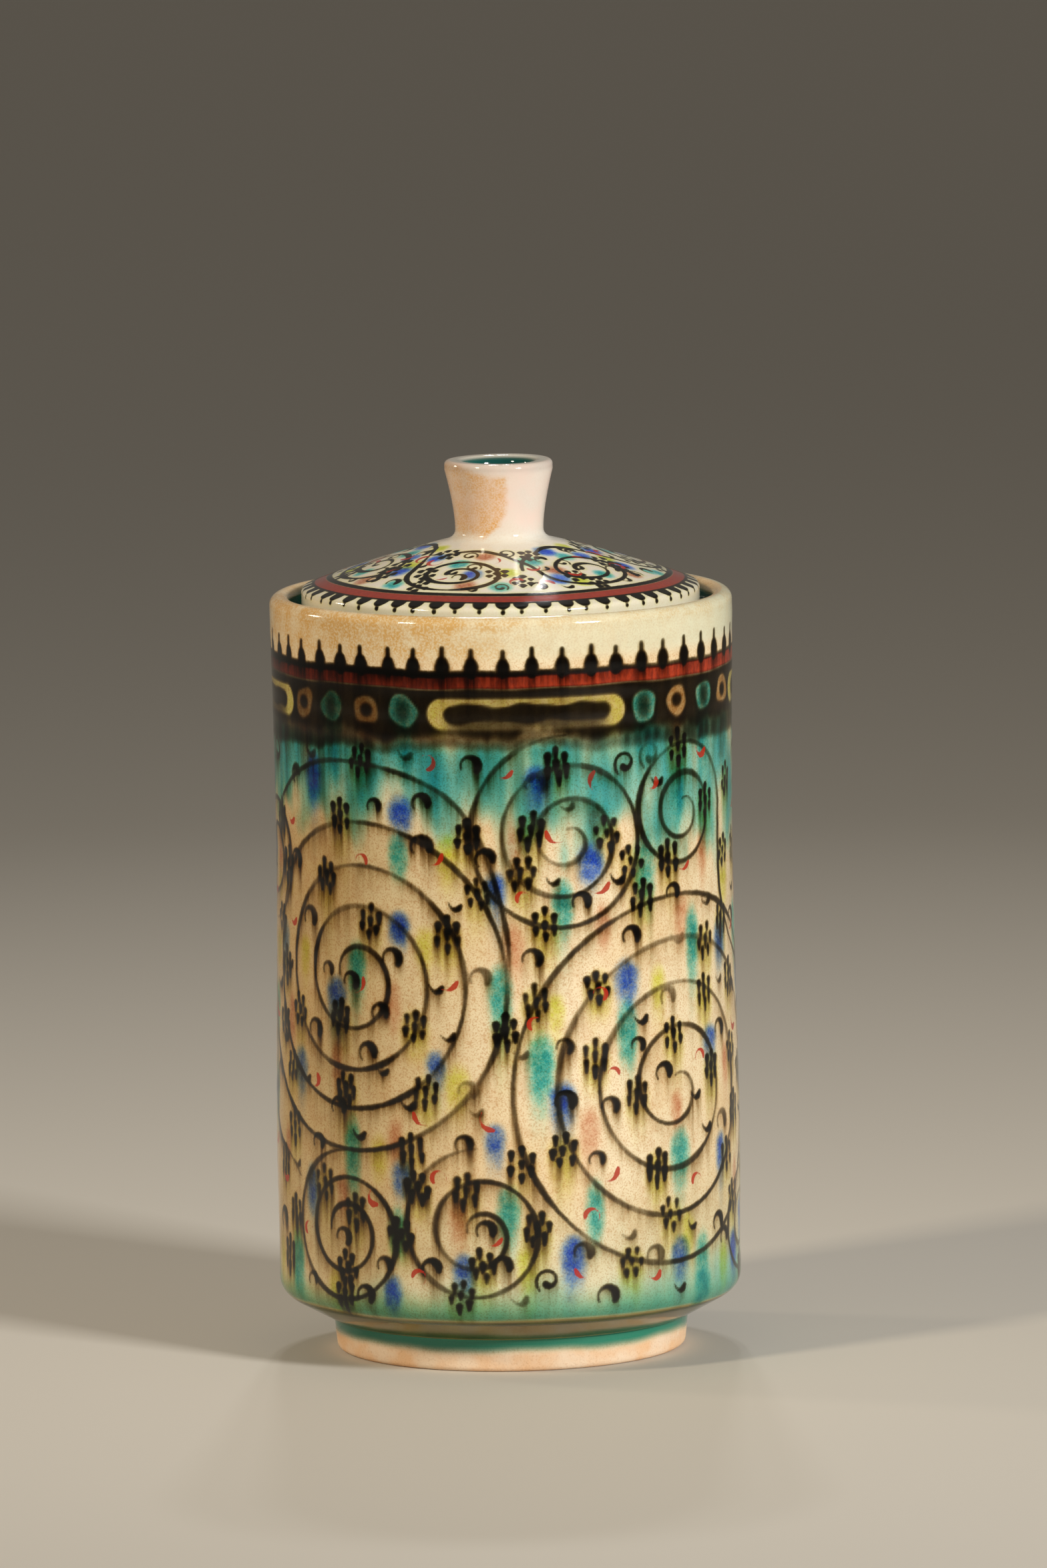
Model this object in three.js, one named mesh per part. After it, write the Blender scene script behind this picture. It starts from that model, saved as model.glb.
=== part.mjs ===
// A lidded ceramic jar. The body is a straight-sided cylinder on a turned foot ring, with a gallery
// inside its rim. A loose domed lid drops into the gallery, and a hollow flared knob is luted onto it.
// Millimetres, +Z up. The origin is the centre of the face that the foot ring stands on.
import * as THREE from "three";

// Body
const BODY_RADIUS = 51;
const BODY_HEIGHT = 168;
const WALL = 4.6;
const FLOOR = 7;
const BELLY_SWELL = 0.4;
const BELLY_SHARE = 0.2;
const WAIST_DRAW = 0.6;
const WAIST_SHARE = 0.62;
const RIM_ROUND = 2.2;
const INSIDE_ROUND = 12;

// Foot ring, and the undercut that the potter turns between it and the wall
const FOOT_RADIUS = 39.2;
const FOOT_HEIGHT = 7.3;
const FOOT_RING = 6;
const FOOT_TUCK = 0.8;
const FOOT_RECESS = 3.5;
const FOOT_ROUND = 1.3;
const TURNED_STEP = 0.6;
const UNDERCUT_RISE = 6.1;
const UNDERCUT_ROUND = 5;

// Gallery: the ledge inside the rim that the lid rests on
const GALLERY_DEPTH = 4.6;
const LEDGE_WIDTH = 5.6;
const LEDGE_LIP = 3;
const LEDGE_RUN_OUT = 9;
const LEDGE_ROUND = 1;

// Lid
const LID_PLAY = 2.5;
const SEAT_GAP = 0.3;
const SEAT_WIDTH = 5;
const LID_EDGE = 5.4;
const LID_WALL = 4.6;
const LID_ROUND = 1.8;
const DOME_RISE = 10.3;
const DOME_CROWN = 0.5;

// Knob
const LUTING = 0.3;
const KNOB_HEIGHT = 17.3;
const KNOB_BASE_RADIUS = 11.8;
const KNOB_BASE_EDGE = 0.4;
const KNOB_NECK_RADIUS = 9.8;
const KNOB_NECK_HEIGHT = 2;
const KNOB_TOP_RADIUS = 12;
const KNOB_BEND_SHARE = 0.35;
const KNOB_LIP = 4.4;
const KNOB_LIP_ROUND = 2.1;
const KNOB_HOLLOW_DEPTH = 12;
const KNOB_HOLLOW_TAPER = 1.6;

// Facets of each turned piece
const BODY_SEGMENTS = 60;
const KNOB_SEGMENTS = 40;
const ARC_STEPS = 3;
const WALL_STEPS = 8;
const CURVE_STEPS = 6;
const ROUNDING_LIMIT = 0.48;

// Glaze colours
const PAINTED_CREAM = 0xe2cfa0;
const LID_WHITE = 0xe9e4cf;
const KNOB_WHITE = 0xe6d3b8;
const GLAZE_ROUGHNESS = 0.12;

// Sizes that follow from the ones above
const BORE_RADIUS = BODY_RADIUS - WALL;
const FLOOR_TOP = FOOT_RECESS + FLOOR;
const UNDERCUT_TOP = FOOT_HEIGHT + UNDERCUT_RISE;
const LEDGE_HEIGHT = BODY_HEIGHT - GALLERY_DEPTH;
const LEDGE_RADIUS = BORE_RADIUS - LEDGE_WIDTH;
const LID_RADIUS = BORE_RADIUS - LID_PLAY;
const LID_SEAT = LEDGE_HEIGHT + SEAT_GAP;
const LAND_HEIGHT = LID_EDGE + DOME_RISE;

const at = (radius, height, round = 0) => ({ point: new THREE.Vector2(radius, height), round });
const through = (points) => points.map((point) => ({ point, round: 0 }));

// The outline through a list of corners, with an arc at each corner that has a rounding. A rounding
// is limited to what the two sides beside it can hold.
function outline(corners) {
  const points = [];
  corners.forEach(({ point, round }, i) => {
    const before = corners[i - 1]?.point;
    const after = corners[i + 1]?.point;
    if (!round || !before || !after) {
      points.push(point);
      return;
    }
    const back = before.clone().sub(point);
    const ahead = after.clone().sub(point);
    const half = Math.acos(back.dot(ahead) / (back.length() * ahead.length())) / 2;
    const room = ROUNDING_LIMIT * Math.min(back.length(), ahead.length());
    const reach = Math.min(round / Math.tan(half), room);
    const start = point.clone().addScaledVector(back.normalize(), reach);
    const end = point.clone().addScaledVector(ahead.normalize(), reach);
    const middle = start.clone().add(end).multiplyScalar(0.5);
    const centre = point.clone().lerp(middle, 1 / Math.cos(half) ** 2);
    const radius = centre.distanceTo(start);
    const from = start.clone().sub(centre).angle();
    const turn = end.clone().sub(centre).angle() - from;
    const sweep = turn - 2 * Math.PI * Math.round(turn / (2 * Math.PI));
    for (let k = 0; k <= ARC_STEPS; k++) {
      const angle = from + (sweep * k) / ARC_STEPS;
      points.push(new THREE.Vector2(Math.cos(angle), Math.sin(angle)).multiplyScalar(radius).add(centre));
    }
  });
  return points;
}

// A closed solid of revolution about +Z. Its outline runs from the axis out, up and back to the axis.
function turned(corners, segments) {
  return new THREE.LatheGeometry(outline(corners), segments).rotateX(Math.PI / 2);
}

// The thrown wall from the undercut to the rim: a slight belly low down and a slight waist above it.
function wallCurve() {
  const low = UNDERCUT_TOP + 2 * UNDERCUT_ROUND;
  const high = BODY_HEIGHT - 2 * RIM_ROUND;
  const height = (share) => THREE.MathUtils.lerp(low, high, share);
  const curve = new THREE.SplineCurve([
    new THREE.Vector2(BODY_RADIUS, low),
    new THREE.Vector2(BODY_RADIUS + BELLY_SWELL, height(BELLY_SHARE)),
    new THREE.Vector2(BODY_RADIUS - WAIST_DRAW, height(WAIST_SHARE)),
    new THREE.Vector2(BODY_RADIUS, high),
  ]);
  return curve.getPoints(WALL_STEPS);
}

// The ledge narrows the bore to LEDGE_RADIUS, and its underside runs out to the wall below.
function bodyCorners() {
  return [
    at(0, FOOT_RECESS),
    at(FOOT_RADIUS - FOOT_RING - FOOT_TUCK, FOOT_RECESS, FOOT_ROUND),
    at(FOOT_RADIUS - FOOT_RING, 0, FOOT_ROUND / 2),
    at(FOOT_RADIUS - FOOT_TUCK, 0, FOOT_ROUND),
    at(FOOT_RADIUS, FOOT_HEIGHT, TURNED_STEP),
    at(FOOT_RADIUS + TURNED_STEP, FOOT_HEIGHT),
    at(BODY_RADIUS, UNDERCUT_TOP, UNDERCUT_ROUND),
    ...through(wallCurve()),
    at(BODY_RADIUS, BODY_HEIGHT, RIM_ROUND),
    at(BORE_RADIUS, BODY_HEIGHT, RIM_ROUND),
    at(BORE_RADIUS, LEDGE_HEIGHT, LEDGE_ROUND),
    at(LEDGE_RADIUS, LEDGE_HEIGHT, LEDGE_ROUND),
    at(LEDGE_RADIUS, LEDGE_HEIGHT - LEDGE_LIP, LEDGE_ROUND),
    at(BORE_RADIUS, LEDGE_HEIGHT - LEDGE_LIP - LEDGE_RUN_OUT, LEDGE_WIDTH),
    at(BORE_RADIUS, FLOOR_TOP, INSIDE_ROUND),
    at(0, FLOOR_TOP),
  ];
}

// A point on the lid's dome, from its edge (share 0) to the land under the knob (share 1), moved
// down by depth.
function domePoint(share, depth = 0) {
  const crown = 4 * DOME_CROWN * share * (1 - share);
  const radius = THREE.MathUtils.lerp(LID_RADIUS, KNOB_BASE_RADIUS, share);
  return new THREE.Vector2(radius, LID_EDGE + DOME_RISE * share + crown - depth);
}

function domeCurve(fromShare, toShare, depth) {
  const shares = Array.from({ length: CURVE_STEPS + 1 }, (_, k) => k / CURVE_STEPS);
  return shares.map((k) => domePoint(THREE.MathUtils.lerp(fromShare, toShare, k), depth));
}

// The lid in its own frame, with its seat at height 0: a flat ring to rest on, a rounded edge, and a
// dome of even thickness that is hollow underneath.
function lidCorners() {
  const seatInner = LID_RADIUS - SEAT_WIDTH;
  const slope = LID_RADIUS - KNOB_BASE_RADIUS;
  const hollowStart = (SEAT_WIDTH + LID_ROUND) / slope;
  const edgeEnd = LID_ROUND / slope;
  return [
    at(0, LAND_HEIGHT - LID_WALL),
    ...through(domeCurve(1, hollowStart, LID_WALL)),
    at(seatInner, 0, LEDGE_ROUND),
    at(LID_RADIUS, 0, LID_ROUND),
    at(LID_RADIUS, LID_EDGE, LID_ROUND),
    ...through(domeCurve(edgeEnd, 1, 0)),
    at(0, LAND_HEIGHT),
  ];
}

// The knob in its own frame, with its luted face at height 0: it flares out to the dome below and to
// a rolled lip above, and is hollow from the top.
function knobCorners() {
  const shoulder = KNOB_HEIGHT - KNOB_LIP_ROUND;
  const neck = new THREE.Vector2(KNOB_NECK_RADIUS, KNOB_NECK_HEIGHT);
  const flare = new THREE.QuadraticBezierCurve(
    new THREE.Vector2(KNOB_BASE_RADIUS, KNOB_BASE_EDGE),
    new THREE.Vector2(KNOB_NECK_RADIUS, KNOB_BASE_EDGE),
    neck,
  );
  const taper = new THREE.QuadraticBezierCurve(
    neck,
    new THREE.Vector2(KNOB_NECK_RADIUS, THREE.MathUtils.lerp(KNOB_NECK_HEIGHT, shoulder, KNOB_BEND_SHARE)),
    new THREE.Vector2(KNOB_TOP_RADIUS, shoulder),
  );
  const hollowRadius = KNOB_TOP_RADIUS - KNOB_LIP;
  const hollowBottom = KNOB_HEIGHT - KNOB_HOLLOW_DEPTH;
  return [
    at(0, 0),
    at(KNOB_BASE_RADIUS, 0),
    ...through(flare.getPoints(CURVE_STEPS)),
    ...through(taper.getPoints(CURVE_STEPS).slice(1)),
    at(KNOB_TOP_RADIUS, KNOB_HEIGHT, KNOB_LIP_ROUND),
    at(hollowRadius, KNOB_HEIGHT, KNOB_LIP_ROUND),
    at(hollowRadius - KNOB_HOLLOW_TAPER, hollowBottom, hollowRadius / 2),
    at(0, hollowBottom),
  ];
}

function piece(name, corners, segments, color) {
  const glaze = new THREE.MeshStandardMaterial({ color, roughness: GLAZE_ROUGHNESS, metalness: 0 });
  const mesh = new THREE.Mesh(turned(corners, segments), glaze);
  mesh.name = name;
  return mesh;
}

const body = piece("jar_body", bodyCorners(), BODY_SEGMENTS, PAINTED_CREAM);
const dome = piece("lid", lidCorners(), BODY_SEGMENTS, LID_WHITE);
const knob = piece("lid_knob", knobCorners(), KNOB_SEGMENTS, KNOB_WHITE);
knob.position.z = LAND_HEIGHT + LUTING;

const lid = new THREE.Group();
lid.position.z = LID_SEAT;
lid.add(dome, knob);

const jar = new THREE.Group();
jar.add(body, lid);

export default jar;
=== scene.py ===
"""A lidded ceramic jar: painted under a glossy glaze, on a plain pale floor.

The pieces are turned meshes that follow the CAD profiles. The painting is drawn with brush strokes on flat
canvases in millimetres, kept on the meshes as amounts of pigment, and mixed into glaze by the materials.
"""
import math

import bpy
import numpy as np
from mathutils import Matrix, Vector


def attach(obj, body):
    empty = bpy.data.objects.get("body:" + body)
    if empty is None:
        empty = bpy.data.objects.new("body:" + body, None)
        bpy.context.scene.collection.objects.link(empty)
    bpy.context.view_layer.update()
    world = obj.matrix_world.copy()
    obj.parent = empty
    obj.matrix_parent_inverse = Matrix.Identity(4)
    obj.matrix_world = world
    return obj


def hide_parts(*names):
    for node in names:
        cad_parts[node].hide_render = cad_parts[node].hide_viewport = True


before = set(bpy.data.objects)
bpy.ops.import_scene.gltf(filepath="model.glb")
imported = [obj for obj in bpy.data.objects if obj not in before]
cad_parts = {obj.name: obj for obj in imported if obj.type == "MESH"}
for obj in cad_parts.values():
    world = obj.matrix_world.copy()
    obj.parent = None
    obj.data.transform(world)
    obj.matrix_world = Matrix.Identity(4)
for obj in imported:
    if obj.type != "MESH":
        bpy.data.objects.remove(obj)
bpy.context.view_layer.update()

MM = 0.001
TURN = 2 * math.pi

# Sizes of the CAD part, in millimetres. Only the belly is slighter than the CAD's, so that the waver of the
# thrown wall stays inside the CAD box.
BODY_RADIUS = 51.0
BODY_HEIGHT = 168.0
WALL = 4.6
FLOOR = 7.0
BELLY_SWELL = 0.25
BELLY_SHARE = 0.2
WAIST_DRAW = 0.6
WAIST_SHARE = 0.62
RIM_ROUND = 2.2
INSIDE_ROUND = 12.0
FOOT_RADIUS = 39.2
FOOT_HEIGHT = 7.3
FOOT_RING = 6.0
FOOT_TUCK = 0.8
FOOT_RECESS = 3.5
FOOT_ROUND = 1.3
TURNED_STEP = 0.6
UNDERCUT_RISE = 6.1
UNDERCUT_ROUND = 5.0
GALLERY_DEPTH = 4.6
LEDGE_WIDTH = 5.6
LEDGE_LIP = 3.0
LEDGE_RUN_OUT = 9.0
LEDGE_ROUND = 1.0
LID_PLAY = 2.5
SEAT_GAP = 0.3
SEAT_WIDTH = 5.0
LID_EDGE = 5.4
LID_WALL = 4.6
LID_ROUND = 1.8
DOME_RISE = 10.3
DOME_CROWN = 0.5
LUTING = 0.3
KNOB_HEIGHT = 17.3
KNOB_BASE_RADIUS = 11.8
KNOB_NECK_RADIUS = 9.8
KNOB_NECK_HEIGHT = 2.0
KNOB_TOP_RADIUS = 12.0
KNOB_BEND_SHARE = 0.35
KNOB_LIP = 4.4
KNOB_LIP_ROUND = 2.1
KNOB_HOLLOW_DEPTH = 12.0
KNOB_HOLLOW_TAPER = 1.6
ROUNDING_LIMIT = 0.48

BORE_RADIUS = BODY_RADIUS - WALL
FLOOR_TOP = FOOT_RECESS + FLOOR
UNDERCUT_TOP = FOOT_HEIGHT + UNDERCUT_RISE
LEDGE_HEIGHT = BODY_HEIGHT - GALLERY_DEPTH
LEDGE_RADIUS = BORE_RADIUS - LEDGE_WIDTH
LID_RADIUS = BORE_RADIUS - LID_PLAY
LID_SEAT = LEDGE_HEIGHT + SEAT_GAP
LAND = LID_SEAT + LID_EDGE + DOME_RISE
KNOB_BASE = LAND + LUTING

# Where the knob's flare leaves the dome, as a share of the dome, and how far it bends up
FLARE_START = 0.985
FLARE_BEND = 0.2

# Mesh density: columns round a piece, the longest step along a profile, and the points of its curves
COLUMNS = 720
PAINTED_STEP = 0.45
LID_STEP = 0.32
PLAIN_STEP = 2.5
RUN_OUT_STEP = 1.0
FINE_STEP = 0.5
STEP_SLACK = 1e-6
ARC_STEPS = 4
WALL_STEPS = 24
DOME_POINTS = 16
HOLLOW_POINTS = 14
FLARE_POINTS = 10
TAPER_POINTS = 14
POLE_RADIUS = 0.4
MAP_MARGIN = 0.4

# Angles of the columns. 0 faces the camera (-Y), and the angle grows to the right, seen from there.
ANGLES = TURN * np.arange(COLUMNS) / COLUMNS - math.pi


# Profiles


def catmull(points, steps):
    """A smooth curve through the points, as the CAD's spline is."""
    path = np.asarray([points[0], *points, points[-1]], float)
    share = np.linspace(0, 1, steps, endpoint=False)[:, None]
    parts = []
    for before, start, end, after in zip(path, path[1:], path[2:], path[3:]):
        square = 2 * before - 5 * start + 4 * end - after
        cube = 3 * start - before - 3 * end + after
        parts.append(0.5 * (2 * start + (end - before) * share + square * share**2 + cube * share**3))
    return np.concatenate([*parts, [path[-1]]])


def bezier(start, pull, end, count):
    """A curve of count points from start to end, drawn towards a third point."""
    start, pull, end = np.array([start, pull, end], float)
    share = np.linspace(0, 1, count)[:, None]
    return (1 - share) ** 2 * start + 2 * share * (1 - share) * pull + share**2 * end


def outline(*runs):
    """Points along the corners of all runs (zone, step, corners), with an arc at each corner that has a
    rounding after its radius and height. Returns the points, and each one's zone as a column."""
    corners = [(zone, step, *corner) for zone, step, run in runs for corner in run]
    points = []
    zones = []

    def lay(point, zone, step):
        count = 1
        if points:
            start = points[-1]
            count = max(1, math.ceil(np.hypot(*(point - start)) / step - STEP_SLACK))
            points.extend([start + (point - start) * k / count for k in range(1, count)])
        points.append(point)
        zones.extend([zone] * count)

    for i, (zone, step, *corner) in enumerate(corners):
        point = np.array(corner[:2], float)
        if len(corner) == 2:
            lay(point, zone, step)
            continue
        back = np.array(corners[i - 1][2:4]) - point
        ahead = np.array(corners[i + 1][2:4]) - point
        room = ROUNDING_LIMIT * min(np.hypot(*back), np.hypot(*ahead))
        back = back / np.hypot(*back)
        ahead = ahead / np.hypot(*ahead)
        half = math.acos(np.clip(back @ ahead, -1, 1)) / 2
        reach = min(corner[2] / math.tan(half), room)
        start = point + back * reach
        end = point + ahead * reach
        centre = point + ((start + end) / 2 - point) / math.cos(half) ** 2
        radius = np.hypot(*(start - centre))
        first = math.atan2(*(start - centre)[::-1])
        sweep = math.atan2(*(end - centre)[::-1]) - first
        sweep -= TURN * round(sweep / TURN)
        count = max(ARC_STEPS, math.ceil(abs(sweep) * radius / min(step, FINE_STEP)))
        for k in range(count + 1):
            angle = first + sweep * k / count
            lay(centre + radius * np.array([math.cos(angle), math.sin(angle)]), zone, step)
    return np.array(points), np.array(zones)[:, None]


def jar_profile():
    low = UNDERCUT_TOP + 2 * UNDERCUT_ROUND
    high = BODY_HEIGHT - 2 * RIM_ROUND
    wall = catmull([
        (BODY_RADIUS, low),
        (BODY_RADIUS + BELLY_SWELL, low + (high - low) * BELLY_SHARE),
        (BODY_RADIUS - WAIST_DRAW, low + (high - low) * WAIST_SHARE),
        (BODY_RADIUS, high),
    ], WALL_STEPS)
    foot = [
        (FOOT_RADIUS, FOOT_HEIGHT, TURNED_STEP),
        (FOOT_RADIUS + TURNED_STEP, FOOT_HEIGHT),
        (BODY_RADIUS, UNDERCUT_TOP, UNDERCUT_ROUND),
    ]
    gallery = [
        (BORE_RADIUS, BODY_HEIGHT, RIM_ROUND),
        (BORE_RADIUS, LEDGE_HEIGHT, LEDGE_ROUND),
        (LEDGE_RADIUS, LEDGE_HEIGHT, LEDGE_ROUND),
        (LEDGE_RADIUS, LEDGE_HEIGHT - LEDGE_LIP, LEDGE_ROUND),
    ]
    run_out = (BORE_RADIUS, LEDGE_HEIGHT - LEDGE_LIP - LEDGE_RUN_OUT, LEDGE_WIDTH)
    recess = (FOOT_RADIUS - FOOT_RING - FOOT_TUCK, FOOT_RECESS, FOOT_ROUND)
    return outline(
        ("under", PLAIN_STEP, [(POLE_RADIUS, FOOT_RECESS), recess]),
        ("under", FINE_STEP, [(FOOT_RADIUS - FOOT_RING, 0, FOOT_ROUND / 2)]),
        ("outer", FINE_STEP, [(FOOT_RADIUS - FOOT_TUCK, 0, FOOT_ROUND)]),
        ("outer", PAINTED_STEP, [*foot, *wall, (BODY_RADIUS, BODY_HEIGHT, RIM_ROUND)]),
        ("inner", FINE_STEP, gallery),
        ("inner", RUN_OUT_STEP, [run_out]),
        ("inner", PLAIN_STEP, [(BORE_RADIUS, FLOOR_TOP, INSIDE_ROUND), (POLE_RADIUS, FLOOR_TOP)]),
    )


def dome_point(share, depth=0.0):
    """A point on the lid's dome, from its edge (share 0) to the knob (share 1), moved down by depth."""
    radius = LID_RADIUS + (KNOB_BASE_RADIUS - LID_RADIUS) * share
    height = LID_SEAT + LID_EDGE + DOME_RISE * share + 4 * DOME_CROWN * share * (1 - share)
    return radius, height - depth


def lid_profile():
    """The lid and its knob as one glazed skin: the knob's flare runs into the dome."""
    slope = LID_RADIUS - KNOB_BASE_RADIUS
    hollow_start = (SEAT_WIDTH + LID_ROUND) / slope
    hollow = [dome_point(share, LID_WALL) for share in np.linspace(1, hollow_start, HOLLOW_POINTS)]
    dome = [dome_point(share) for share in np.linspace(LID_ROUND / slope, FLARE_START, DOME_POINTS)]
    neck = (KNOB_NECK_RADIUS, KNOB_BASE + KNOB_NECK_HEIGHT)
    top = KNOB_BASE + KNOB_HEIGHT
    shoulder = top - KNOB_LIP_ROUND
    bend = neck[1] + (shoulder - neck[1]) * KNOB_BEND_SHARE
    flare = bezier(dome[-1], (KNOB_NECK_RADIUS, KNOB_BASE + FLARE_BEND), neck, FLARE_POINTS)
    taper = bezier(neck, (KNOB_NECK_RADIUS, bend), (KNOB_TOP_RADIUS, shoulder), TAPER_POINTS)
    well_radius = KNOB_TOP_RADIUS - KNOB_LIP
    well_floor = top - KNOB_HOLLOW_DEPTH
    lip = (KNOB_TOP_RADIUS, top, KNOB_LIP_ROUND)
    well = [
        (well_radius, top, KNOB_LIP_ROUND),
        (well_radius - KNOB_HOLLOW_TAPER, well_floor, well_radius / 2),
        (POLE_RADIUS, well_floor),
    ]
    return outline(
        ("under", PLAIN_STEP, [(POLE_RADIUS, LAND - LID_WALL), *hollow]),
        ("seat", FINE_STEP, [(LID_RADIUS - SEAT_WIDTH, LID_SEAT, LEDGE_ROUND)]),
        ("edge", FINE_STEP, [(LID_RADIUS, LID_SEAT, LID_ROUND)]),
        ("edge", LID_STEP, [(LID_RADIUS, LID_SEAT + LID_EDGE, LID_ROUND)]),
        ("dome", LID_STEP, dome),
        ("knob", FINE_STEP, [*flare[1:], *taper[1:], lip]),
        ("hollow", FINE_STEP, well),
    )


def arc_lengths(points):
    return np.concatenate([[0], np.cumsum(np.hypot(*np.diff(points, axis=0).T))])


# Meshes


def turned_mesh(name, points, sway):
    """A closed turned mesh. sway(radius, height) gives each vertex's own radius and height."""
    rows = len(points)
    radius, height = sway(points[:, :1], points[:, 1:])
    grid = np.broadcast_arrays(radius * np.sin(ANGLES), -radius * np.cos(ANGLES), height)
    poles = [[0, 0, grid[2][row].mean()] for row in (0, -1)]
    places = np.concatenate([np.stack(grid, -1).reshape(-1, 3), poles]) * MM
    row, column = np.meshgrid(np.arange(rows - 1), np.arange(COLUMNS), indexing="ij")
    here = row * COLUMNS + column
    beside = row * COLUMNS + (column + 1) % COLUMNS
    quads = np.stack([here, beside, beside + COLUMNS, here + COLUMNS], -1)
    pole = np.full(COLUMNS, rows * COLUMNS)
    bottom = np.stack([pole, beside[0], here[0]], -1)
    top = np.stack([pole + 1, here[-1] + COLUMNS, beside[-1] + COLUMNS], -1)
    mesh = bpy.data.meshes.new(name)
    mesh.from_pydata(places.tolist(), [], [*quads.reshape(-1, 4).tolist(), *bottom.tolist(), *top.tolist()])
    mesh.shade_smooth()
    # One flat map for baking: columns across, the profile's length upwards
    run = arc_lengths(points)
    girth = TURN * points[:, 0].max()
    span = max(run[-1], girth)
    run = run + MAP_MARGIN
    edge = np.stack([column[0] + 0.5, column[0] + 1, column[0]], -1)
    map_x = [np.stack([column, column + 1, column + 1, column], -1), edge, edge[:, [0, 2, 1]]]
    map_y = [
        np.stack([run[row], run[row], run[row + 1], run[row + 1]], -1),
        np.tile([0, run[0], run[0]], COLUMNS),
        np.tile([run[-1] + MAP_MARGIN, run[-1], run[-1]], COLUMNS),
    ]
    map_x = np.concatenate([part.reshape(-1) for part in map_x]) / COLUMNS * girth / span
    map_y = np.concatenate([part.reshape(-1) for part in map_y]) / (span + 2 * MAP_MARGIN)
    flat = np.stack([map_x, map_y], -1).astype(np.float32)
    mesh.uv_layers.new(name="OFBake").data.foreach_set("uv", flat.reshape(-1))
    piece = bpy.data.objects.new(name, mesh)
    bpy.context.scene.collection.objects.link(piece)
    return piece


def store(piece, amounts):
    """Keeps each amount, over rows and columns, on the piece's vertices. The poles get their row's mean."""
    rows = len(piece.data.vertices) // COLUMNS
    for name, grid in amounts.items():
        grid = np.broadcast_to(grid, (rows, COLUMNS))
        values = np.concatenate([grid.reshape(-1), [grid[0].mean(), grid[-1].mean()]]).astype(np.float32)
        piece.data.attributes.new(name, "FLOAT", "POINT").data.foreach_set("value", values)


# Painting

# Distance from every stroke, for a canvas without one, and how far a stroke's distances are worked out
FAR = 3.0
STROKE_REACH = 1.5
NO_LENGTH = 1e-9
STROKES = ("ink", "line", "red")
PIGMENTS = ("turquoise", "cobalt", "yellow", "rust")


def smooth(low, high, value):
    share = np.clip((value - low) / (high - low), 0, 1)
    return share * share * (3 - 2 * share)


def blurred(field, axes=(1, 0)):
    """A running mean over three cells along each axis; the ends wrap round."""
    for axis in axes:
        field = (np.roll(field, -1, axis) + field + np.roll(field, 1, axis)) / 3
    return field


def wave_noise(dice, along, period, longest, shortest, count=7):
    """Smooth noise about 0 that repeats after the period."""
    out = np.zeros_like(along)
    for _ in range(count):
        waves = max(1, round(period / dice.uniform(shortest, longest)))
        out += np.sin(TURN * waves * along / period + dice.uniform(0, TURN))
    return out / math.sqrt(count / 2)


def wall_noise(dice, longest, shortest, count=7):
    """Smooth noise about 0 round the wall."""
    return wave_noise(dice, ANGLES * BODY_RADIUS, GIRTH, longest, shortest, count)


def clouds(dice, xs, ys, wide, tall, count=14):
    """Smooth noise about 0 over the wall's canvas, in clouds of about that width and height."""
    out = np.zeros_like(xs)
    for _ in range(count):
        waves = max(1, round(GIRTH / (wide * dice.uniform(1.2, 3.2))))
        climb = dice.uniform(-1, 1) / tall
        out += np.sin(TURN * (waves * xs / GIRTH + climb * ys) + dice.uniform(0, TURN))
    return out / math.sqrt(count / 2)


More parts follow.
